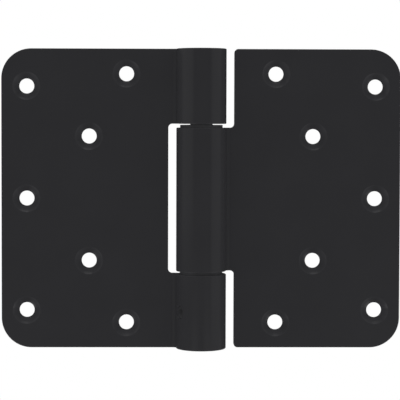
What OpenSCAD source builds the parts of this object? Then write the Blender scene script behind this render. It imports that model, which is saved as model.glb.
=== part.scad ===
// Wide door hinge: two flat leaves with rolled knuckles on one pin, shown lying open at 180 degrees.
// Millimetres. +Z runs up the pin, +X points from the pin to the door leaf, and -Y is the front,
// where the knuckles stand proud and the screw holes are countersunk.
// The origin is on the pin axis, half way up the hinge.

/* [Leaves] */
// Height of each leaf, along the pin
hinge_h = 120; // [100:1:150]
// Distance from the pin axis to the outer edge of a leaf
leaf_reach = 80; // [66:1:110]
// Thickness of the leaf sheet
sheet_t = 3; // [2.5:0.1:3.6]
// Distance from the pin axis back to the front faces of the leaves
set_back = 1.5; // [1:0.1:2]
// Gap between the inner edge of a leaf and the other leaf's knuckles
knuckle_gap = 3.2; // [2.4:0.1:4]
// Radius of the four outer corners
corner_r = 12; // [3:0.5:14]
// Radius of the corners beside the knuckles
notch_r = 1.6; // [0.6:0.1:1.8]

/* [Knuckles] */
// Outside diameter of the rolled knuckles
knuckle_d = 20; // [18:0.5:24]
// Clear height between the two knuckles of the frame leaf
frame_gap = 60.1; // [50:0.1:74]
// Inner radius of the bend where the sheet turns from the leaf into the roll
bend_r = 1.5; // [1.2:0.1:2]
// Slit between the end of the roll and the back of the bend
seam_gap = 0.3; // [0.1:0.1:1]

/* [Pin] */
// Diameter of the pin
pin_d = 9; // [7:0.5:10.5]
// Depth of the pin's ends below the ends of the knuckles
pin_recess = 0.2; // [0:0.1:2]
// Chamfer on both ends of the pin
pin_chamfer = 0.4; // [0.2:0.1:1]
// Depth of the groove that the lock screw bites into
groove_depth = 0.6; // [0.3:0.1:1]

/* [Bushes and sleeves] */
// Thickness of each bush's flange
flange_t = 1.1; // [0.8:0.1:2]
// Width of flange that rests on the end of the knuckle
flange_lip = 1.5; // [1:0.1:2.5]
// Length of each bush inside the knuckle
bush_l = 22; // [12:1:23]
// Depth of the sleeves' outer ends below the ends of the knuckles
sleeve_recess = 0.5; // [0:0.1:2]

/* [Lock screw] */
// Diameter of the grub screw that locks the pin
lock_d = 5; // [4:0.5:6]
// Depth of the screw below the outside of the knuckle
lock_recess = 0.8; // [0.4:0.1:1.2]
// Width across flats of its hexagon socket
lock_socket = 2.5; // [2:0.5:3]
// Depth of the socket
lock_socket_depth = 2.2; // [1.5:0.1:2.5]
// Diameter of the flat on its point
lock_tip_d = 2.5; // [2:0.1:3]
// Angle of the screw round the knuckle, from the front towards the frame leaf
lock_angle = 62; // [50:1:70]

/* [Screw holes] */
// Diameter of the screw holes
hole_d = 6; // [4:0.5:7]
// Straight part of each hole, behind the 90 degree countersink
hole_land = 0.5; // [0.3:0.1:1]
// Outer column of three holes, in from the outer edge
outer_col_inset = 10; // [9:1:14]
// Top and bottom holes of the outer column, in from the leaf's top and bottom edges
outer_row_inset = 15; // [13:1:24]
// Middle column of two holes, out from the pin axis
middle_col = 45; // [40:1:48]
// Height between the two holes of the middle column
middle_rows = 50; // [30:1:60]
// Inner column of two holes, out from the pin axis
inner_col = 30; // [25:1:32]
// Holes of the inner column, in from the leaf's top and bottom edges
inner_row_inset = 10; // [9:1:14]

/* [Fits] */
// Radial clearance between the pin and the bushes that turn on it
running_fit = 0.05; // [0.02:0.01:0.1]
// Radial clearance between pieces that are pressed together
seat_fit = 0.02; // [0.01:0.01:0.05]
// Height of the film between the lower bush's flange and the knuckle that carries it
rest_gap = 0.05; // [0.02:0.01:0.1]
// Total play of the door leaf up and down the pin
axial_play = 0.5; // [0.2:0.1:1.5]

/* [Hidden] */
$fn = 96;
cut = 1;                                        // how far a cutter passes a face
powder_black = [0.16, 0.16, 0.17];
steel_black = [0.12, 0.12, 0.13];
nylon_black = [0.09, 0.09, 0.10];

knuckle_r = knuckle_d / 2;
bore_r = knuckle_r - sheet_t;                   // inside of the roll
leaf_inner = knuckle_r + knuckle_gap;           // inner edge of a leaf beside the other's knuckles
bend_y = set_back - bend_r;                     // centre of the bend, seen along the pin
bend_x = sqrt(pow(knuckle_r + bend_r, 2) - pow(bend_y, 2));
bend_angle = asin(bend_y / (knuckle_r + bend_r));
// The end of the roll stops a slit's width from the back of the bend, by the law of cosines
roll_end = bend_angle + acos((pow(knuckle_r, 2) + pow(knuckle_r + bend_r, 2)
    - pow(bend_r + sheet_t + seam_gap, 2)) / (2 * knuckle_r * (knuckle_r + bend_r)));

half_h = hinge_h / 2;
half_gap = frame_gap / 2;
frame_knuckle_h = half_h - half_gap;
door_knuckle_h = frame_gap - 2 * flange_t - axial_play;
lower_flange_z = -half_gap + rest_gap;
door_knuckle_z = lower_flange_z + flange_t;     // foot of the door leaf's knuckle
upper_flange_z = door_knuckle_z + door_knuckle_h;

pin_r = pin_d / 2;
sleeve_h = frame_knuckle_h - sleeve_recess;
lock_z = -half_gap - frame_knuckle_h / 2;
lock_r = lock_d / 2;
lock_seat = pin_r - groove_depth;               // radius of the groove's floor

csk_depth = sheet_t - hole_land;
outer_col = leaf_reach - outer_col_inset;
outer_row = half_h - outer_row_inset;
inner_row = half_h - inner_row_inset;
// Screw holes of one leaf: distance from the pin axis, height from the middle of the leaf
holes = [[outer_col, outer_row], [outer_col, 0], [outer_col, -outer_row],
    [middle_col, middle_rows / 2], [middle_col, -middle_rows / 2],
    [inner_col, inner_row], [inner_col, -inner_row]];

// Square corner less a quarter disc: cut from a sharp corner to round it, or added to fill a notch
module corner_piece(r) {
    difference() {
        square(r);
        translate([r, r]) circle(r);
    }
}

// Outline of a leaf in the plane of the sheet; each of its tongues has a foot and a top height
module leaf_outline(tongues) {
    difference() {
        translate([leaf_inner, -half_h]) square([leaf_reach - leaf_inner, hinge_h]);
        for (side = [-1, 1]) {
            translate([leaf_reach, side * half_h]) turn_corner(-1, -side) corner_piece(corner_r);
            translate([leaf_inner, side * half_h]) turn_corner(1, -side) corner_piece(notch_r);
        }
    }
    for (t = tongues) {
        translate([bend_x, t[0]]) square([leaf_inner - bend_x + notch_r, t[1] - t[0]]);
        if (t[0] > -half_h) translate([leaf_inner, t[0]]) turn_corner(-1, -1) corner_piece(notch_r);
        if (t[1] < half_h) translate([leaf_inner, t[1]]) turn_corner(-1, 1) corner_piece(notch_r);
    }
}

// Turns a corner piece to face left or right, up or down
module turn_corner(x_side, y_side) {
    mirror([x_side < 0 ? 1 : 0, 0]) mirror([0, y_side < 0 ? 1 : 0]) children();
}

// Section through the bend and the roll: the sheet rises over the front of the pin, passes round
// the far side and the back, and ends at a slit behind the bend
module roll_section() {
    reach = 3 * knuckle_r;
    difference() {
        circle(knuckle_r);
        circle(bore_r);
        polygon([[0, 0], reach * [cos(bend_angle), sin(bend_angle)],
            reach * [cos(roll_end), sin(roll_end)]]);
    }
    intersection() {
        translate([bend_x, bend_y]) difference() {
            circle(bend_r + sheet_t);
            circle(bend_r);
        }
        polygon([[bend_x, bend_y], [0, 0], [0, reach], [bend_x, reach]]);
    }
}

// Hole through the sheet with its countersink at the front, from a front face at y = 0
module screw_hole() {
    rotate([-90, 0, 0]) {
        translate([0, 0, -cut]) cylinder(h = sheet_t + 2 * cut, d = hole_d);
        translate([0, 0, -cut]) cylinder(h = csk_depth + cut,
            r1 = hole_d / 2 + csk_depth + cut, r2 = hole_d / 2);
    }
}

// A leaf that reaches to +X, with a tongue rolled into a knuckle for each pair of heights
module leaf(tongues) {
    difference() {
        union() {
            translate([0, set_back + sheet_t, 0]) rotate([90, 0, 0])
                linear_extrude(height = sheet_t) leaf_outline(tongues);
            for (t = tongues)
                translate([0, 0, t[0]]) linear_extrude(height = t[1] - t[0]) roll_section();
        }
        for (h = holes) translate([h[0], set_back, h[1]]) screw_hole();
    }
}

// Places a cutter or screw on the lock screw's axis, its +Z pointing out of the knuckle
module at_lock() {
    translate([0, 0, lock_z]) rotate([0, 0, -90 - lock_angle]) rotate([0, 90, 0]) children();
}

// Left leaf, screwed to the door frame, with the top and bottom knuckles
module frame_leaf() {
    color(powder_black) difference() {
        mirror([1, 0, 0]) leaf([[half_gap, half_h], [-half_h, -half_gap]]);
        at_lock() cylinder(h = knuckle_d, r = lock_r + seat_fit);
    }
}

// Right leaf, screwed to the edge of the door, with the middle knuckle. It stands level with the
// frame leaf while the door's weight rests on the lower bush, so all the play is above the knuckle
module door_leaf() {
    color(powder_black) leaf([[door_knuckle_z, upper_flange_z]]);
}

// One straight pin through all the knuckles, turned down to a groove for the lock screw
module hinge_pin() {
    end_z = half_h - pin_recess;
    groove_half = lock_tip_d / 2 + 0.2;
    color(steel_black) difference() {
        rotate_extrude() polygon([[0, -end_z], [pin_r - pin_chamfer, -end_z],
            [pin_r, -end_z + pin_chamfer], [pin_r, end_z - pin_chamfer],
            [pin_r - pin_chamfer, end_z], [0, end_z]]);
        translate([0, 0, lock_z]) rotate_extrude()
            polygon([[lock_seat, -groove_half], [lock_seat, groove_half],
                [pin_r + cut, groove_half + groove_depth + cut],
                [pin_r + cut, -groove_half - groove_depth - cut]]);
    }
}

// Flanged bush with its flange at the bottom
module bush() {
    color(nylon_black) difference() {
        union() {
            cylinder(h = flange_t, r = bore_r + flange_lip);
            cylinder(h = flange_t + bush_l, r = bore_r - seat_fit);
        }
        translate([0, 0, -cut]) cylinder(h = flange_t + bush_l + 2 * cut, r = pin_r + running_fit);
    }
}

module lower_bush() {
    translate([0, 0, lower_flange_z]) bush();
}

module upper_bush() {
    translate([0, 0, upper_flange_z + flange_t]) mirror([0, 0, 1]) bush();
}

// Plain sleeve that fills a frame knuckle round the pin
module pin_sleeve() {
    color(steel_black) difference() {
        cylinder(h = sleeve_h, r = bore_r - seat_fit);
        translate([0, 0, -cut]) cylinder(h = sleeve_h + 2 * cut, r = pin_r + seat_fit);
    }
}

module upper_pin_sleeve() {
    translate([0, 0, half_gap]) pin_sleeve();
}

module lower_pin_sleeve() {
    difference() {
        translate([0, 0, -half_gap - sleeve_h]) pin_sleeve();
        at_lock() cylinder(h = knuckle_d, r = lock_r + seat_fit);
    }
}

// Grub screw in the lower knuckle, its point in the pin's groove
module pin_lock_screw() {
    tip = lock_seat + seat_fit;
    cone_h = (lock_d - lock_tip_d) / 2;
    top = knuckle_r - lock_recess;
    color(steel_black) at_lock() difference() {
        union() {
            translate([0, 0, tip]) cylinder(h = cone_h, d1 = lock_tip_d, d2 = lock_d);
            translate([0, 0, tip + cone_h]) cylinder(h = top - tip - cone_h, d = lock_d);
        }
        translate([0, 0, top - lock_socket_depth])
            cylinder(h = lock_socket_depth + cut, d = lock_socket / cos(30), $fn = 6);
    }
}

frame_leaf();
door_leaf();
hinge_pin();
upper_bush();
lower_bush();
upper_pin_sleeve();
lower_pin_sleeve();
pin_lock_screw();
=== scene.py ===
import math

import bmesh
import bpy
from mathutils import Matrix, Vector


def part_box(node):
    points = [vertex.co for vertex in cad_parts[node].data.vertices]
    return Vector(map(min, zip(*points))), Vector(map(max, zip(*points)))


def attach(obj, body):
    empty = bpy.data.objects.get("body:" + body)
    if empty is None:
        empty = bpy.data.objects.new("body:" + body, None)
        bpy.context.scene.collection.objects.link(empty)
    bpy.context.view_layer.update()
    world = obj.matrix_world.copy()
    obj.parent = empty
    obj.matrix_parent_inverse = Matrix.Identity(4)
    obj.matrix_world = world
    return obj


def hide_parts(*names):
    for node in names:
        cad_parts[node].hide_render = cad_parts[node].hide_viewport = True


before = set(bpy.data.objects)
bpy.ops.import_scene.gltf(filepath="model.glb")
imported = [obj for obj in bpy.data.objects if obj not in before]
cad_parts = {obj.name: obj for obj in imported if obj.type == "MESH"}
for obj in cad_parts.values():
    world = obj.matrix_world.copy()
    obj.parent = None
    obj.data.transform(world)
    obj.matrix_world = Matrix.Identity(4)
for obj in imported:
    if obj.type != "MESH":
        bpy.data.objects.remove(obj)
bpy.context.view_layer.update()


# ---- Camera ----
# A long lens a little above the middle of the hinge, looking straight at the front of the open leaves.

MM = 0.001
camera_data = bpy.data.cameras.new("front_camera")
camera_data.lens = 146.1
camera_data.sensor_width = 36
camera_data.shift_y = -0.05
camera_data.clip_start = 0.05
camera_data.clip_end = 20
camera = bpy.data.objects.new("front_camera", camera_data)
bpy.context.scene.collection.objects.link(camera)
camera_place = (-11.6 * MM, -649 * MM, 35 * MM)
camera_turn = math.radians(-0.98)
camera_tilt = math.radians(90 - 2.42)
camera_roll = math.radians(0.16)
camera.matrix_world = (
    Matrix.Translation(camera_place)
    @ Matrix.Rotation(camera_turn, 4, "Z")
    @ Matrix.Rotation(camera_tilt, 4, "X")
    @ Matrix.Rotation(camera_roll, 4, "Z")
)
bpy.context.scene.camera = camera
bpy.context.scene.view_settings.view_transform = "Standard"


# ---- Studio ----
# A white surround that lights mostly from the front and the back, four even fills without shadow, a
# plain pale floor well below the hinge, a wide softbox at each side that draws a soft upright band
# on the knuckles, and two smaller ones behind and above.

def add_node(tree, kind, settings=None, **sockets):
    """A node with its settings. Each socket, by name or as _ and its number, gets a value or a link."""
    node = tree.nodes.new(kind)
    for setting, value in (settings or {}).items():
        setattr(node, setting, value)
    for name, value in sockets.items():
        socket = node.inputs[int(name[1:]) if name[0] == "_" else name.replace("_", " ")]
        if isinstance(value, bpy.types.NodeSocket):
            tree.links.new(value, socket)
        else:
            socket.default_value = value
    return node


def node_maths(tree):
    """A short way to add the tree's math nodes: maths("ADD", one, two) gives the result's socket."""
    def maths(operation, *values):
        sockets = {f"_{i}": value for i, value in enumerate(values)}
        return add_node(tree, "ShaderNodeMath", {"operation": operation}, **sockets).outputs[0]
    return maths


def studio_world(sides, front, above, in_gloss):
    """White where the camera sees it, dim in gloss, and on matt surfaces a tent of soft light: a level
    for the sides, more of it towards the front and the back, and a little more from above."""
    world = bpy.data.worlds.new("studio_surround")
    world.use_nodes = True
    world.cycles.sampling_method = "NONE"
    tree = world.node_tree
    tree.nodes.clear()
    maths = node_maths(tree)
    ray = add_node(tree, "ShaderNodeLightPath").outputs
    towards = add_node(tree, "ShaderNodeSeparateXYZ",
                       _0=add_node(tree, "ShaderNodeTexCoord").outputs["Generated"]).outputs
    front_and_back = maths("MULTIPLY", maths("MULTIPLY", towards["Y"], towards["Y"]), front)
    upper = maths("MULTIPLY", towards["Z"], above)
    tent = maths("ADD", maths("ADD", front_and_back, upper), sides)
    gloss = add_node(tree, "ShaderNodeBackground", Color=(1, 1, 1, 1), Strength=in_gloss)
    matt = add_node(tree, "ShaderNodeBackground", Color=(1, 1, 1, 1), Strength=tent)
    white = add_node(tree, "ShaderNodeBackground", Color=(1, 1, 1, 1), Strength=1.0)
    lit = add_node(tree, "ShaderNodeMixShader", _0=ray["Is Diffuse Ray"], _1=gloss.outputs[0],
                   _2=matt.outputs[0])
    seen = add_node(tree, "ShaderNodeMixShader", _0=ray["Is Camera Ray"], _1=lit.outputs[0],
                    _2=white.outputs[0])
    add_node(tree, "ShaderNodeOutputWorld", Surface=seen.outputs[0])
    return world


bpy.context.scene.world = studio_world(sides=0.26, front=0.26, above=0.04, in_gloss=0.012)


def even_fill(strength):
    """Four fills in balance, from the front, the top and the lower sides at the back. They cast no
    shadow and make no gloss, so that the gaps and the faces beside the knuckles don't go black."""
    fills = (("front", (0, -1, 0)), ("top", (0, 0.333, 0.943)),
             ("left", (-0.816, 0.333, -0.471)), ("right", (0.816, 0.333, -0.471)))
    for name, towards in fills:
        data = bpy.data.lights.new(name + "_fill", "SUN")
        data.energy = strength
        data.use_shadow = False
        fill = bpy.data.objects.new(name + "_fill", data)
        bpy.context.scene.collection.objects.link(fill)
        fill.matrix_world = Vector(towards).to_track_quat("Z", "Y").to_matrix().to_4x4()
        fill.visible_glossy = False


even_fill(strength=2.0)


def softbox(name, azimuth, height, distance, size, power, facing):
    """An area light of that size in metres and power in watts, facing a point. Its azimuth is in
    degrees from the camera's side, positive towards +X."""
    data = bpy.data.lights.new(name, "AREA")
    data.shape = "RECTANGLE"
    data.size, data.size_y = size
    data.energy = power
    light = bpy.data.objects.new(name, data)
    bpy.context.scene.collection.objects.link(light)
    turn = math.radians(azimuth)
    place = Vector((math.sin(turn) * distance, -math.cos(turn) * distance, height))
    aim = (Vector(facing) - place).to_track_quat("-Z", "Y")
    light.matrix_world = Matrix.Translation(place) @ aim.to_matrix().to_4x4()
    light.visible_camera = False


softbox("left_softbox", azimuth=-79, height=0.48, distance=1.2, size=(2.0, 1.2), power=1.25,
        facing=(0, 0, 0.48))
softbox("right_softbox", azimuth=78, height=0.10, distance=1.2, size=(1.5, 1.8), power=1.25,
        facing=(0, 0, 0.1))
softbox("rear_softbox", azimuth=180, height=1.0, distance=0.9, size=(1.2, 0.8), power=1.2,
        facing=(0, 0, 0))
softbox("top_softbox", azimuth=180, height=1.3, distance=0.15, size=(0.9, 0.6), power=1.4,
        facing=(0, 0.05, 0))


def colour_ramp(tree, factor, marks, blend="LINEAR"):
    """The colour from a ramp at that factor. Each mark is a position and a grey level or a colour."""
    ramp = add_node(tree, "ShaderNodeValToRGB", Fac=factor)
    ramp.color_ramp.interpolation = blend
    elements = ramp.color_ramp.elements
    for i, (position, colour) in enumerate(marks):
        mark = elements[i] if i < 2 else elements.new(position)
        mark.position = position
        mark.color = colour if isinstance(colour, tuple) else (colour, colour, colour, 1)
    return ramp.outputs[0]


floor_grey = 0.85
floor_glow = 0.16
painted_floor_light = (                     # metres to either side of the middle, and the painted light that gloss sees there
    (0.10, 0.03), (0.32, 0.45), (0.65, 0.45), (0.95, 0.02))


def pale_floor_paint():
    """Plain pale paint. In gloss it shows painted light at the sides, by the softboxes, and is dark
    elsewhere.
    """
    paint = bpy.data.materials.new("pale_floor_paint")
    paint.use_nodes = True
    tree = paint.node_tree
    shader = tree.nodes["Principled BSDF"]
    shader.inputs["Base Color"].default_value = (floor_grey, floor_grey, floor_grey, 1)
    shader.inputs["Roughness"].default_value = 0.9
    shader.inputs["Emission Color"].default_value = (1, 1, 1, 1)
    shader.inputs["Emission Strength"].default_value = floor_glow
    place = add_node(tree, "ShaderNodeTexCoord").outputs["Object"]
    across = add_node(tree, "ShaderNodeSeparateXYZ", _0=place).outputs["X"]
    aside = node_maths(tree)("ABSOLUTE", across)
    # painted pools of softbox light on the floor, seen only in gloss
    strips = colour_ramp(tree, aside, painted_floor_light, "EASE")
    sheen = add_node(tree, "ShaderNodeEmission", Color=strips, Strength=1.0)
    ray = add_node(tree, "ShaderNodeLightPath").outputs
    mixed = add_node(tree, "ShaderNodeMixShader", _0=ray["Is Glossy Ray"], _1=shader.outputs[0],
                     _2=sheen.outputs[0])
    tree.links.new(mixed.outputs[0], tree.nodes["Material Output"].inputs["Surface"])
    return paint


floor_half = 1.2
floor_z = -0.30
floor_mesh = bpy.data.meshes.new("studio_floor")
floor_mesh.from_pydata([(x * floor_half, y * floor_half, floor_z)
                        for x, y in ((-1, -1), (1, -1), (1, 1), (-1, 1))], [], [(0, 1, 2, 3)])
floor_mesh.materials.append(pale_floor_paint())
studio_floor = bpy.data.objects.new("studio_floor", floor_mesh)
studio_floor.visible_diffuse = False
bpy.context.scene.collection.objects.link(studio_floor)


# ---- Leaves ----
# Each leaf is a blank cut from 3 mm steel sheet, with countersunk screw holes, whose tongues are
# rolled forward into knuckles round the pin. It is powder coated black all over, in a fine texture.

half_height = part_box("frame_leaf")[1].z
leaf_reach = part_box("door_leaf")[1].x
knuckle_r = -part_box("door_leaf")[0].x
half_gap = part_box("upper_pin_sleeve")[0].z
flange_t = 1.1 * MM
door_knuckle = (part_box("lower_bush")[0].z + flange_t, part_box("upper_bush")[1].z - flange_t)
sheet_t = 3 * MM
bend_r = 1.5 * MM                    # also how far the front faces lie behind the pin axis
bend_x = knuckle_r + bend_r          # where the flat leaf ends and the bend begins
knuckle_gap = 3.2 * MM
leaf_inner = knuckle_r + knuckle_gap
corner_r = 12 * MM
notch_r = 1.6 * MM
edge_r = 0.35 * MM                   # edges rounded by deburring and by the coat
bend_len = (bend_r + sheet_t / 2) * math.pi / 2
slit = 0.3 * MM                      # left open where the roll comes back to the bend
slit_cos = (knuckle_r**2 + bend_x**2 - (bend_r + sheet_t + slit) ** 2) / (2 * knuckle_r * bend_x)
roll_turn = math.tau - math.acos(slit_cos)
roll_len = roll_turn * knuckle_r


def arc(centre, radius, start, end, steps):
    """Points round an arc in the plane of the sheet, from one angle in degrees to another."""
    angles = [math.radians(start + (end - start) * i / steps) for i in range(steps + 1)]
    return [(centre[0] + radius * math.cos(a), centre[1] + radius * math.sin(a)) for a in angles]


def leaf_blank(tongues):
    """The flat blank of a leaf that reaches to +X, before it is rolled. Past the bend line a tongue's
    x falls by its own length, and its cross lines are where the roll will turn."""
    bend_steps, roll_steps, corner_steps, notch_steps = 10, 108, 24, 8
    stations = [bend_x - bend_len * i / bend_steps for i in range(bend_steps + 1)]
    stations += [bend_x - bend_len - roll_len * (i + 1) / roll_steps for i in range(roll_steps)]
    outline = arc((leaf_reach - corner_r, corner_r - half_height), corner_r, -90, 0, corner_steps)
    outline += arc((leaf_reach - corner_r, half_height - corner_r), corner_r, 0, 90, corner_steps)
    strips = []
    flat = list(range(len(outline)))

    def add(points, on_flat=True):
        first = len(outline)
        outline.extend(points)
        if on_flat:
            flat.extend(range(first, len(outline)))
        return first

    for foot, top in sorted(tongues, reverse=True):
        if top < half_height:
            if len(flat) == len(outline) and not strips:
                add(arc((leaf_inner + notch_r, half_height - notch_r), notch_r, 90, 180, notch_steps))
            add(arc((leaf_inner - notch_r, top + notch_r), notch_r, 0, -90, notch_steps))
        upper = add([(x, top) for x in stations], False)
        lower = add([(x, foot) for x in reversed(stations)], False)
        flat.extend((upper, lower + len(stations) - 1))
        for i in range(len(stations) - 1):
            last = lower + len(stations) - 1 - i
            strips.append((upper + i, upper + i + 1, last - 1, last))
        if foot > -half_height:
            add(arc((leaf_inner - notch_r, foot - notch_r), notch_r, 90, 0, notch_steps))
    if min(foot for foot, top in tongues) > -half_height:
        add(arc((leaf_inner + notch_r, notch_r - half_height), notch_r, 180, 270, notch_steps))

    mesh = bmesh.new()
    front = [mesh.verts.new((x, bend_r, z)) for x, z in outline]
    back = [mesh.verts.new((x, bend_r + sheet_t, z)) for x, z in outline]
    for face in [flat, *strips]:
        mesh.faces.new([front[i] for i in face])
        mesh.faces.new([back[i] for i in reversed(face)])
    rims = []
    for i in range(len(outline)):
        j = (i + 1) % len(outline)
        mesh.faces.new((front[i], front[j], back[j], back[i]))
        rims += [mesh.edges.get((front[i], front[j])), mesh.edges.get((back[i], back[j]))]
    bmesh.ops.recalc_face_normals(mesh, faces=mesh.faces)
    bmesh.ops.bevel(mesh, geom=rims, offset=edge_r, segments=3, profile=0.5, affect="EDGES")
    blank = bpy.data.meshes.new("leaf_blank")
    mesh.to_mesh(blank)
    mesh.free()
    return blank


def turned(name, profile, segments):
    """A closed piece turned about the Z axis from its half section, a closed loop of (radius, height)
    or an open line that starts and ends on the axis."""
    mesh = bmesh.new()
    rings = []
    for radius, height in profile:
        count = segments if radius > 0 else 1
        turns = [math.tau * i / segments for i in range(count)]
        rings.append([mesh.verts.new((radius * math.cos(a), radius * math.sin(a), height))
                      for a in turns])
    pairs = list(zip(rings, rings[1:]))
    if profile[0][0] > 0:
        pairs.append((rings[-1], rings[0]))
    for one, two in pairs:
        for i in range(segments):
            corners = [one[i % len(one)], one[(i + 1) % len(one)],
                       two[(i + 1) % len(two)], two[i % len(two)]]
            mesh.faces.new(list(dict.fromkeys(corners)))
    bmesh.ops.recalc_face_normals(mesh, faces=mesh.faces)
    made = bpy.data.meshes.new(name)
    mesh.to_mesh(made)
    mesh.free()
    return made


def rounded(corners, radius, steps=4):
    """A half section with each corner rounded, except those on the axis."""
    points = []
    count = len(corners)
    for i, corner in enumerate(corners):
        here = Vector(corner)
        if here.x <= 0:
            points.append(tuple(here))
            continue
        before = (Vector(corners[i - 1]) - here).normalized()
        after = (Vector(corners[(i + 1) % count]) - here).normalized()
        half = before.angle(after) / 2
        reach = radius / math.tan(half)
        centre = here + (before + after).normalized() * (radius / math.sin(half))
        start = here + before * reach - centre
        sweep = start.angle_signed(here + after * reach - centre)
        for k in range(steps + 1):
            turn = -sweep * k / steps
            points.append((centre.x + start.x * math.cos(turn) - start.y * math.sin(turn),
                           centre.y + start.x * math.sin(turn) + start.y * math.cos(turn)))
    return points


hole_r = 3 * MM
hole_land = 0.5 * MM                 # straight part behind the 90 degree countersink
csk_depth = sheet_t - hole_land
mouth_r = hole_r + csk_depth
rim_r = 0.2 * MM                     # rounding of the mouth's rim
back_break = 0.15 * MM               # broken edge at the back
screw_columns = (                    # distance from the pin axis, and the heights of the holes there
    (leaf_reach - 10 * MM, (15 * MM - half_height, 0, half_height - 15 * MM)),
    (45 * MM, (-25 * MM, 25 * MM)),
    (30 * MM, (10 * MM - half_height, half_height - 10 * MM)))


def countersink_cutter():
    """The shape that a countersink takes out of the sheet, its axis along Y."""
    pass_by = 1 * MM
    flank_deg, rim_steps = 45, 3
    lip = rim_r * math.tan(math.radians(flank_deg / 2))
    section = [(0, -pass_by), (mouth_r + lip, -pass_by)]
    for step in range(rim_steps + 1):
        turn = math.radians(flank_deg * step / rim_steps)
        section.append((mouth_r + lip - rim_r * math.sin(turn), rim_r - rim_r * math.cos(turn)))
    section += [(hole_r, csk_depth), (hole_r, sheet_t - back_break), (hole_r + back_break, sheet_t),
                (hole_r + back_break, sheet_t + pass_by), (0, sheet_t + pass_by)]
    cutter = turned("countersink", section, 64)
    cutter.transform(Matrix.Rotation(math.radians(-90), 4, "X"))
    cutter.transform(Matrix.Translation((0, bend_r, 0)))
    return cutter


def evaluated_mesh(piece):
    """A plain mesh of a piece with its modifiers applied."""
    bpy.context.view_layer.update()
    shown = piece.evaluated_get(bpy.context.evaluated_depsgraph_get())
    return bpy.data.meshes.new_from_object(shown, depsgraph=bpy.context.evaluated_depsgraph_get())


def new_piece(name, mesh):
    piece = bpy.data.objects.new(name, mesh)
    bpy.context.scene.collection.objects.link(piece)
    return piece


def smooth_shaded(piece, sharp_deg=50):
    """Smooth shading with true flats: sharp only past an angle, and weighted by the size of the faces."""
    piece.data.polygons.foreach_set("use_smooth", [True] * len(piece.data.polygons))
    piece.data.set_sharp_from_angle(angle=math.radians(sharp_deg))
    evening = piece.modifiers.new("even_flats", "WEIGHTED_NORMAL")
    evening.keep_sharp = True
    finished = evaluated_mesh(piece)
    piece.modifiers.clear()
    piece.data = finished


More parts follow.
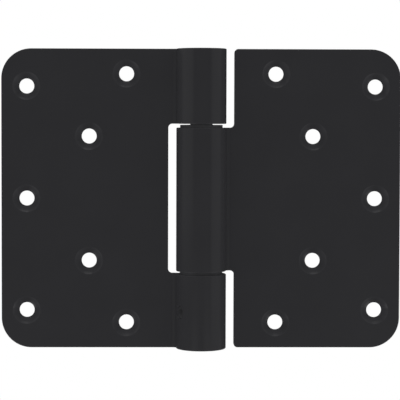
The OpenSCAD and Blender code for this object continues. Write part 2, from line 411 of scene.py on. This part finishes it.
def rolled_leaf_tree():
    """Geometry nodes that sink the countersinks into a blank, mark the thin coat on the rounded edges and
    the inside bend, which gets painted shade and a duller gloss, and roll the tongues into knuckles."""
    tree = bpy.data.node_groups.new("rolled_leaf", "GeometryNodeTree")
    face = tree.interface
    face.new_socket("Blank", in_out="INPUT", socket_type="NodeSocketGeometry")
    for name, kind in (("Screw Places", "Object"), ("Countersink", "Object"), ("Coat", "Material")):
        face.new_socket(name, in_out="INPUT", socket_type="NodeSocket" + kind)
    for name in ("Bend Line", "Bend Radius", "Bend Length", "Knuckle Radius", "Sheet", "Edge Radius"):
        face.new_socket(name, in_out="INPUT", socket_type="NodeSocketFloat")
    face.new_socket("Leaf", in_out="OUTPUT", socket_type="NodeSocketGeometry")
    given = add_node(tree, "NodeGroupInput").outputs
    maths = node_maths(tree)

    places = add_node(tree, "GeometryNodeObjectInfo", Object=given["Screw Places"])
    cutter = add_node(tree, "GeometryNodeObjectInfo", Object=given["Countersink"])
    cutters = add_node(tree, "GeometryNodeInstanceOnPoints", Points=places.outputs["Geometry"],
                       Instance=cutter.outputs["Geometry"])
    solid_cutters = add_node(tree, "GeometryNodeRealizeInstances", Geometry=cutters.outputs[0])
    drilled = add_node(tree, "GeometryNodeMeshBoolean", {"operation": "DIFFERENCE", "solver": "EXACT"},
                       _0=given["Blank"], _1=solid_cutters.outputs[0])

    at = add_node(tree, "ShaderNodeSeparateXYZ",
                  _0=add_node(tree, "GeometryNodeInputPosition").outputs[0]).outputs
    # The rounded edges: just off the flat of the sheet, down to most of the edge radius
    off_flat, edge_share = 0.005 * MM, 0.9
    depth = maths("SUBTRACT", at["Y"], given["Bend Radius"])
    inside = maths("MINIMUM", depth, maths("SUBTRACT", given["Sheet"], depth))
    on_edge = maths("MULTIPLY", maths("GREATER_THAN", inside, off_flat),
                    maths("LESS_THAN", inside, maths("MULTIPLY", given["Edge Radius"], edge_share)))
    marked = add_node(tree, "GeometryNodeStoreNamedAttribute", {"data_type": "FLOAT"},
                      Geometry=drilled.outputs[0], Name="thin_coat", Value=on_edge)

    # The inside bend, with painted shade: full from the first quarter of the bend to its end, then fading
    # out
    rise_rate, fade_share = 4.0, 0.4
    past = maths("SUBTRACT", given["Bend Line"], at["X"])
    rise = maths("MULTIPLY", maths("DIVIDE", past, given["Bend Length"]), rise_rate)
    fade = maths("MULTIPLY", given["Bend Radius"], fade_share)
    fall = maths("DIVIDE", maths("SUBTRACT", maths("ADD", given["Bend Length"], fade), past), fade)
    in_bend = maths("MAXIMUM", maths("MINIMUM", maths("MINIMUM", rise, fall), 1.0), 0.0)
    marked = add_node(tree, "GeometryNodeStoreNamedAttribute", {"data_type": "FLOAT"},
                      Geometry=marked.outputs[0], Name="inside_bend", Value=in_bend)

    # The bend: round a centre on the bend line, from the leaf to the side of the roll
    bend_angle = maths("MULTIPLY", maths("DIVIDE", past, given["Bend Length"]), math.pi / 2)
    bend_rho = maths("ADD", given["Bend Radius"], depth)
    bend_across = maths("MULTIPLY", bend_rho, maths("SINE", bend_angle))
    bend_point = add_node(tree, "ShaderNodeCombineXYZ",
                          X=maths("SUBTRACT", given["Bend Line"], bend_across),
                          Y=maths("MULTIPLY", bend_rho, maths("COSINE", bend_angle)), Z=at["Z"])

    # The roll: round the pin, over the front and back to the slit
    roll_past = maths("SUBTRACT", past, given["Bend Length"])
    roll_angle = maths("DIVIDE", roll_past, given["Knuckle Radius"])
    roll_rho = maths("SUBTRACT", given["Knuckle Radius"], depth)
    roll_forward = maths("MULTIPLY", roll_rho, maths("SINE", roll_angle))
    roll_point = add_node(tree, "ShaderNodeCombineXYZ",
                          X=maths("MULTIPLY", roll_rho, maths("COSINE", roll_angle)),
                          Y=maths("MULTIPLY", roll_forward, -1.0), Z=at["Z"])
    formed = add_node(tree, "GeometryNodeSwitch", {"input_type": "VECTOR"},
                      Switch=maths("GREATER_THAN", roll_past, 0.0), _1=bend_point.outputs[0],
                      _2=roll_point.outputs[0])
    rolled = add_node(tree, "GeometryNodeSetPosition", Geometry=marked.outputs[0],
                      Selection=maths("GREATER_THAN", past, 0.0), Position=formed.outputs[0])
    whole = add_node(tree, "GeometryNodeRealizeInstances", Geometry=rolled.outputs[0])
    coated = add_node(tree, "GeometryNodeSetMaterial", Geometry=whole.outputs[0], Material=given["Coat"])
    add_node(tree, "NodeGroupOutput", _0=coated.outputs[0])
    return tree


def apply_tree(piece, tree, inputs):
    """Runs a geometry node tree on a piece with these named inputs, and leaves a plain mesh."""
    modifier = piece.modifiers.new(tree.name, "NODES")
    modifier.node_group = tree
    sockets = {s.name: s.identifier for s in tree.interface.items_tree if s.in_out == "INPUT"}
    for name, value in inputs.items():
        modifier[sockets[name]] = value
    made = evaluated_mesh(piece)
    piece.modifiers.clear()
    piece.data = made


coat_dark = (0.0228, 0.0228, 0.0248, 1)
coat_light = (0.0242, 0.0242, 0.0263, 1)
coat_edge = (0.045, 0.045, 0.048, 1)
# painted shade for the crease of the inside bend
coat_painted_bend_shade = (0.0200, 0.0200, 0.0220, 1)
coat_roughness = (0.17, 0.24)
bend_dulling = 0.45                   # added to the roughness in the inside bend
edge_wear = 0.5                      # share of the lighter edge colour, where the clouds are full
peel_depth = 0.02 * MM


def powder_coat():
    """Black powder coat: near black with a soft gloss, a fine orange peel and a dusting of grain. It is a
    little lighter where it lies thin on the rounded edges, and duller with painted shade in the inside
    bend."""
    coat = bpy.data.materials.new("black_powder_coat")
    coat.use_nodes = True
    tree = coat.node_tree
    shader = tree.nodes["Principled BSDF"]
    maths = node_maths(tree)
    place = add_node(tree, "ShaderNodeTexCoord").outputs["Object"]
    thin = add_node(tree, "ShaderNodeAttribute", {"attribute_name": "thin_coat"}).outputs["Fac"]
    bend = add_node(tree, "ShaderNodeAttribute", {"attribute_name": "inside_bend"}).outputs["Fac"]
    cloud = add_node(tree, "ShaderNodeTexNoise", Vector=place, Scale=55.0, Detail=3.0).outputs["Fac"]
    grain = add_node(tree, "ShaderNodeTexNoise", Vector=place, Scale=2600.0, Detail=2.0).outputs["Fac"]
    peel = add_node(tree, "ShaderNodeTexNoise", Vector=place, Scale=850.0, Detail=2.0).outputs["Fac"]

    tone = colour_ramp(tree, cloud, ((0.3, coat_dark), (0.7, coat_light)))
    worn = maths("MULTIPLY", thin, maths("MULTIPLY", cloud, edge_wear))
    edged = add_node(tree, "ShaderNodeMix", {"data_type": "RGBA"}, _0=worn, _6=tone, _7=coat_edge)
    # painted shade: the coat's colour is darkened in the inside bend
    bend_shaded = add_node(tree, "ShaderNodeMix", {"data_type": "RGBA"}, _0=bend, _6=edged.outputs[2],
                     _7=coat_painted_bend_shade)
    tree.links.new(bend_shaded.outputs[2], shader.inputs["Base Color"])
    gloss = add_node(tree, "ShaderNodeMapRange", Value=grain, _1=0.3, _2=0.7,
                     _3=coat_roughness[0], _4=coat_roughness[1])
    duller = maths("MULTIPLY_ADD", bend, bend_dulling, gloss.outputs[0])
    tree.links.new(duller, shader.inputs["Roughness"])
    grain_share = 0.35
    relief = maths("MULTIPLY_ADD", grain, grain_share, peel)
    bump = add_node(tree, "ShaderNodeBump", Strength=0.25, Distance=peel_depth, Height=relief)
    tree.links.new(bump.outputs[0], shader.inputs["Normal"])
    return coat


coat = powder_coat()
rolled_leaf = rolled_leaf_tree()
screw_points = bpy.data.meshes.new("screw_places")
screw_points.from_pydata([(x, 0, z) for x, heights in screw_columns for z in heights], [], [])
screw_places = new_piece("screw_places", screw_points)
countersink = new_piece("countersink", countersink_cutter())
leaf_inputs = {"Screw Places": screw_places, "Countersink": countersink, "Coat": coat,
               "Bend Line": bend_x, "Bend Radius": bend_r, "Bend Length": bend_len,
               "Knuckle Radius": knuckle_r, "Sheet": sheet_t, "Edge Radius": edge_r}

door_leaf = new_piece("coated_door_leaf", leaf_blank([door_knuckle]))
door_leaf.data.materials.append(coat)
apply_tree(door_leaf, rolled_leaf, leaf_inputs)
smooth_shaded(door_leaf)
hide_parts("door_leaf")
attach(door_leaf, "door_side")


def cut_away(piece, cutter_mesh):
    """Takes a cutter's shape out of a piece. The cut faces keep the piece's finish."""
    cutter_mesh.materials.clear()
    cutter_mesh.materials.append(piece.data.materials[0])
    cutter = new_piece(cutter_mesh.name, cutter_mesh)
    boolean = piece.modifiers.new("cut", "BOOLEAN")
    boolean.operation = "DIFFERENCE"
    boolean.solver = "EXACT"
    boolean.object = cutter
    made = evaluated_mesh(piece)
    piece.modifiers.clear()
    piece.data = made
    bpy.data.objects.remove(cutter)


lock_middle = (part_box("pin_lock_screw")[0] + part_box("pin_lock_screw")[1]) / 2
lock_out = Vector((lock_middle.x, lock_middle.y, 0)).normalized()
lock_z = lock_middle.z
lock_frame = (Matrix.Translation((0, 0, lock_z))
              @ lock_out.to_track_quat("Z", "X").to_matrix().to_4x4())
lock_r = 2.5 * MM
lock_flare = 1.5 * MM                # the hole opens out by this much where it leaves the knuckle
seat_fit = 0.02 * MM                 # clearance round what is pressed or screwed in


def lock_drill():
    """The drill for the lock screw, along its axis, with a flare that breaks the knuckle's edge."""
    drill_r = lock_r + seat_fit
    start = 2 * MM
    shoulder = knuckle_r - 0.5 * MM
    section = [(0, start), (drill_r, start), (drill_r, shoulder),
               (drill_r + lock_flare, shoulder + lock_flare), (0, shoulder + lock_flare)]
    drill = turned("lock_drill", section, 48)
    drill.transform(lock_frame)
    return drill


frame_knuckles = [(-half_height, -half_gap), (half_gap, half_height)]
frame_leaf = new_piece("coated_frame_leaf", leaf_blank(frame_knuckles))
frame_leaf.data.materials.append(coat)
apply_tree(frame_leaf, rolled_leaf, leaf_inputs)
frame_leaf.data.transform(Matrix.Scale(-1, 4, (1, 0, 0)))
frame_leaf.data.flip_normals()
cut_away(frame_leaf, lock_drill())
smooth_shaded(frame_leaf)
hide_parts("frame_leaf")
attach(frame_leaf, "frame_side")

for helper in (screw_places, countersink):
    bpy.data.objects.remove(helper)


# ---- Hinge pin ----
# One straight steel pin, turned with a chamfer at both ends and a groove for the lock screw, and
# chemically blackened. It is held in the frame leaf's knuckles.

def near_black(name, colour, metallic, roughness, stretch, grain_scale, depth):
    """A dark finish with soft clouds of tone. The scale in stretch draws the grain out along a piece
    or round it, and depth is how deep the grain lies."""
    finish = bpy.data.materials.new(name)
    finish.use_nodes = True
    tree = finish.node_tree
    shader = tree.nodes["Principled BSDF"]
    shader.inputs["Metallic"].default_value = metallic
    place = add_node(tree, "ShaderNodeTexCoord").outputs["Object"]
    drawn = add_node(tree, "ShaderNodeMapping", Vector=place, Scale=stretch)
    grain = add_node(tree, "ShaderNodeTexNoise", Vector=drawn.outputs[0], Scale=grain_scale, Detail=3.0)
    cloud = add_node(tree, "ShaderNodeTexNoise", Vector=place, Scale=180.0, Detail=2.0)
    darker = (*(0.8 * c for c in colour), 1)
    lighter = (*(1.2 * c for c in colour), 1)
    tone = colour_ramp(tree, cloud.outputs["Fac"], ((0.3, darker), (0.7, lighter)))
    tree.links.new(tone, shader.inputs["Base Color"])
    sheen = add_node(tree, "ShaderNodeMapRange", Value=grain.outputs["Fac"], _1=0.3, _2=0.7,
                     _3=roughness[0], _4=roughness[1])
    tree.links.new(sheen.outputs[0], shader.inputs["Roughness"])
    bump = add_node(tree, "ShaderNodeBump", Strength=0.3, Distance=depth, Height=grain.outputs["Fac"])
    tree.links.new(bump.outputs[0], shader.inputs["Normal"])
    return finish


pin_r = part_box("hinge_pin")[1].x
pin_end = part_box("hinge_pin")[1].z
groove_depth = 0.6 * MM
groove_half = 1.45 * MM
chamfer = 0.4 * MM
pin_edge_r = 0.08 * MM
fine_turn = 96                       # faces round the pin and what fits on it
blackened = near_black("blackened_steel", (0.036, 0.036, 0.038), metallic=0.3, roughness=(0.28, 0.38),
                       stretch=(1, 1, 14), grain_scale=900.0, depth=0.01 * MM)

pin_section = [
    (0, -pin_end), (pin_r - chamfer, -pin_end), (pin_r, chamfer - pin_end),
    (pin_r, lock_z - groove_half - groove_depth), (pin_r - groove_depth, lock_z - groove_half),
    (pin_r - groove_depth, lock_z + groove_half), (pin_r, lock_z + groove_half + groove_depth),
    (pin_r, pin_end - chamfer), (pin_r - chamfer, pin_end), (0, pin_end)]
pin_mesh = turned("turned_hinge_pin", rounded(pin_section, pin_edge_r), fine_turn)
pin = new_piece("turned_hinge_pin", pin_mesh)
pin.data.materials.append(blackened)
smooth_shaded(pin)
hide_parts("hinge_pin")
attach(pin, "frame_side")


# ---- Bushes ----
# Two moulded black nylon bushes pressed into the ends of the door leaf's knuckle. They turn on the
# pin, and the door's weight rests on the lower one's flange.

nylon = near_black("black_nylon", (0.026, 0.026, 0.028), metallic=0.0, roughness=(0.48, 0.60),
                   stretch=(1, 1, 1), grain_scale=1800.0, depth=0.012 * MM)
bore_r = knuckle_r - sheet_t
running_fit = 0.05 * MM
flange_r = bore_r + 1.5 * MM
lead_in = 0.5 * MM
bush_edge_r = 0.12 * MM
for name, flange_side in (("lower_bush", -1), ("upper_bush", 1)):
    low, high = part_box(name)
    outer, inner = (high.z, low.z) if flange_side > 0 else (low.z, high.z)
    shoulder = outer - flange_side * flange_t
    bush_r = bore_r - seat_fit
    bush_bore = pin_r + running_fit
    section = [(bush_bore, outer), (flange_r, outer), (flange_r, shoulder), (bush_r, shoulder),
               (bush_r, inner + flange_side * lead_in), (bush_r - lead_in / 2, inner),
               (bush_bore, inner)]
    bush_mesh = turned("moulded_" + name, rounded(section, bush_edge_r), fine_turn)
    bush = new_piece("moulded_" + name, bush_mesh)
    bush.data.materials.append(nylon)
    smooth_shaded(bush)
    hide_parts(name)
    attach(bush, "door_side")


# ---- Pin sleeves ----
# Two plain turned steel sleeves, pressed into the frame leaf's knuckles to centre the thinner pin.
# The lower one is drilled through with its knuckle for the lock screw.

sleeve_edge_r = 0.25 * MM
for name in ("upper_pin_sleeve", "lower_pin_sleeve"):
    low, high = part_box(name)
    section = [(pin_r + seat_fit, low.z), (bore_r - seat_fit, low.z), (bore_r - seat_fit, high.z),
               (pin_r + seat_fit, high.z)]
    sleeve_mesh = turned("turned_" + name, rounded(section, sleeve_edge_r), fine_turn)
    sleeve = new_piece("turned_" + name, sleeve_mesh)
    sleeve.data.materials.append(blackened)
    if name == "lower_pin_sleeve":
        cut_away(sleeve, lock_drill())
    smooth_shaded(sleeve)
    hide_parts(name)
    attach(sleeve, "frame_side")


# ---- Pin lock screw ----
# A short steel grub screw with a hexagon socket, driven in through the side of the lower knuckle
# until its point sits in the pin's groove, so that the pin can't turn or slide.

def threaded_tree():
    """Geometry nodes that cut a helical thread into the outside of a plain turned blank."""
    tree = bpy.data.node_groups.new("threaded", "GeometryNodeTree")
    face = tree.interface
    face.new_socket("Blank", in_out="INPUT", socket_type="NodeSocketGeometry")
    face.new_socket("Finish", in_out="INPUT", socket_type="NodeSocketMaterial")
    for name in ("Crest Radius", "Thread Depth", "Pitch"):
        face.new_socket(name, in_out="INPUT", socket_type="NodeSocketFloat")
    face.new_socket("Screw", in_out="OUTPUT", socket_type="NodeSocketGeometry")
    given = add_node(tree, "NodeGroupInput").outputs
    maths = node_maths(tree)
    at = add_node(tree, "ShaderNodeSeparateXYZ",
                  _0=add_node(tree, "GeometryNodeInputPosition").outputs[0]).outputs
    turn = maths("DIVIDE", maths("ARCTAN2", at["Y"], at["X"]), math.tau)
    phase = maths("FRACT", maths("ADD", maths("DIVIDE", at["Z"], given["Pitch"]), turn))
    flank = maths("MULTIPLY", maths("ABSOLUTE", maths("SUBTRACT", phase, 0.5)), 2.0)
    crest = maths("SUBTRACT", given["Crest Radius"], maths("MULTIPLY", given["Thread Depth"], flank))
    squares = maths("ADD", maths("MULTIPLY", at["X"], at["X"]), maths("MULTIPLY", at["Y"], at["Y"]))
    radius = maths("SQRT", squares)
    share = maths("DIVIDE", maths("MINIMUM", radius, crest), maths("MAXIMUM", radius, 0.01 * MM))
    cut = add_node(tree, "ShaderNodeCombineXYZ", X=maths("MULTIPLY", at["X"], share),
                   Y=maths("MULTIPLY", at["Y"], share), Z=at["Z"])
    threaded = add_node(tree, "GeometryNodeSetPosition", Geometry=given["Blank"],
                        Position=cut.outputs[0])
    whole = add_node(tree, "GeometryNodeRealizeInstances", Geometry=threaded.outputs[0])
    finished = add_node(tree, "GeometryNodeSetMaterial", Geometry=whole.outputs[0],
                        Material=given["Finish"])
    add_node(tree, "NodeGroupOutput", _0=finished.outputs[0])
    return tree


lock_tip = pin_r - groove_depth + seat_fit
lock_tip_r = 1.25 * MM
lock_top = knuckle_r - 0.8 * MM
lock_cone = lock_tip + lock_r - lock_tip_r
lock_chamfer = 0.3 * MM
lock_socket = 2.5 * MM               # across the flats of its hexagon
socket_depth = 2.2 * MM
socket_point = 0.4 * MM              # depth of the drilled cone under the hexagon
thread_depth = 0.42 * MM
thread_pitch = 0.8 * MM
thread_rings = 44
section = [(0, lock_tip), (lock_tip_r, lock_tip), (lock_r, lock_cone)]
section += [(lock_r, lock_cone + (lock_top - lock_chamfer - lock_cone) * i / thread_rings)
            for i in range(1, thread_rings + 1)]
section += [(lock_r - lock_chamfer, lock_top), (0, lock_top)]
screw = new_piece("lock_grub_screw", turned("lock_grub_screw", section, 48))
screw.data.materials.append(blackened)
apply_tree(screw, threaded_tree(), {"Finish": blackened, "Crest Radius": lock_r,
                                    "Thread Depth": thread_depth, "Pitch": thread_pitch})
socket_r = lock_socket / 2 / math.cos(math.radians(30))
socket_floor = lock_top - socket_depth
key_top = lock_top + 1 * MM
hexagon = [(0, socket_floor - socket_point), (socket_r, socket_floor), (socket_r, key_top), (0, key_top)]
cut_away(screw, turned("hex_key", hexagon, 6))
screw.data.transform(lock_frame)
smooth_shaded(screw, sharp_deg=35)
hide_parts("pin_lock_screw")
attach(screw, "frame_side")
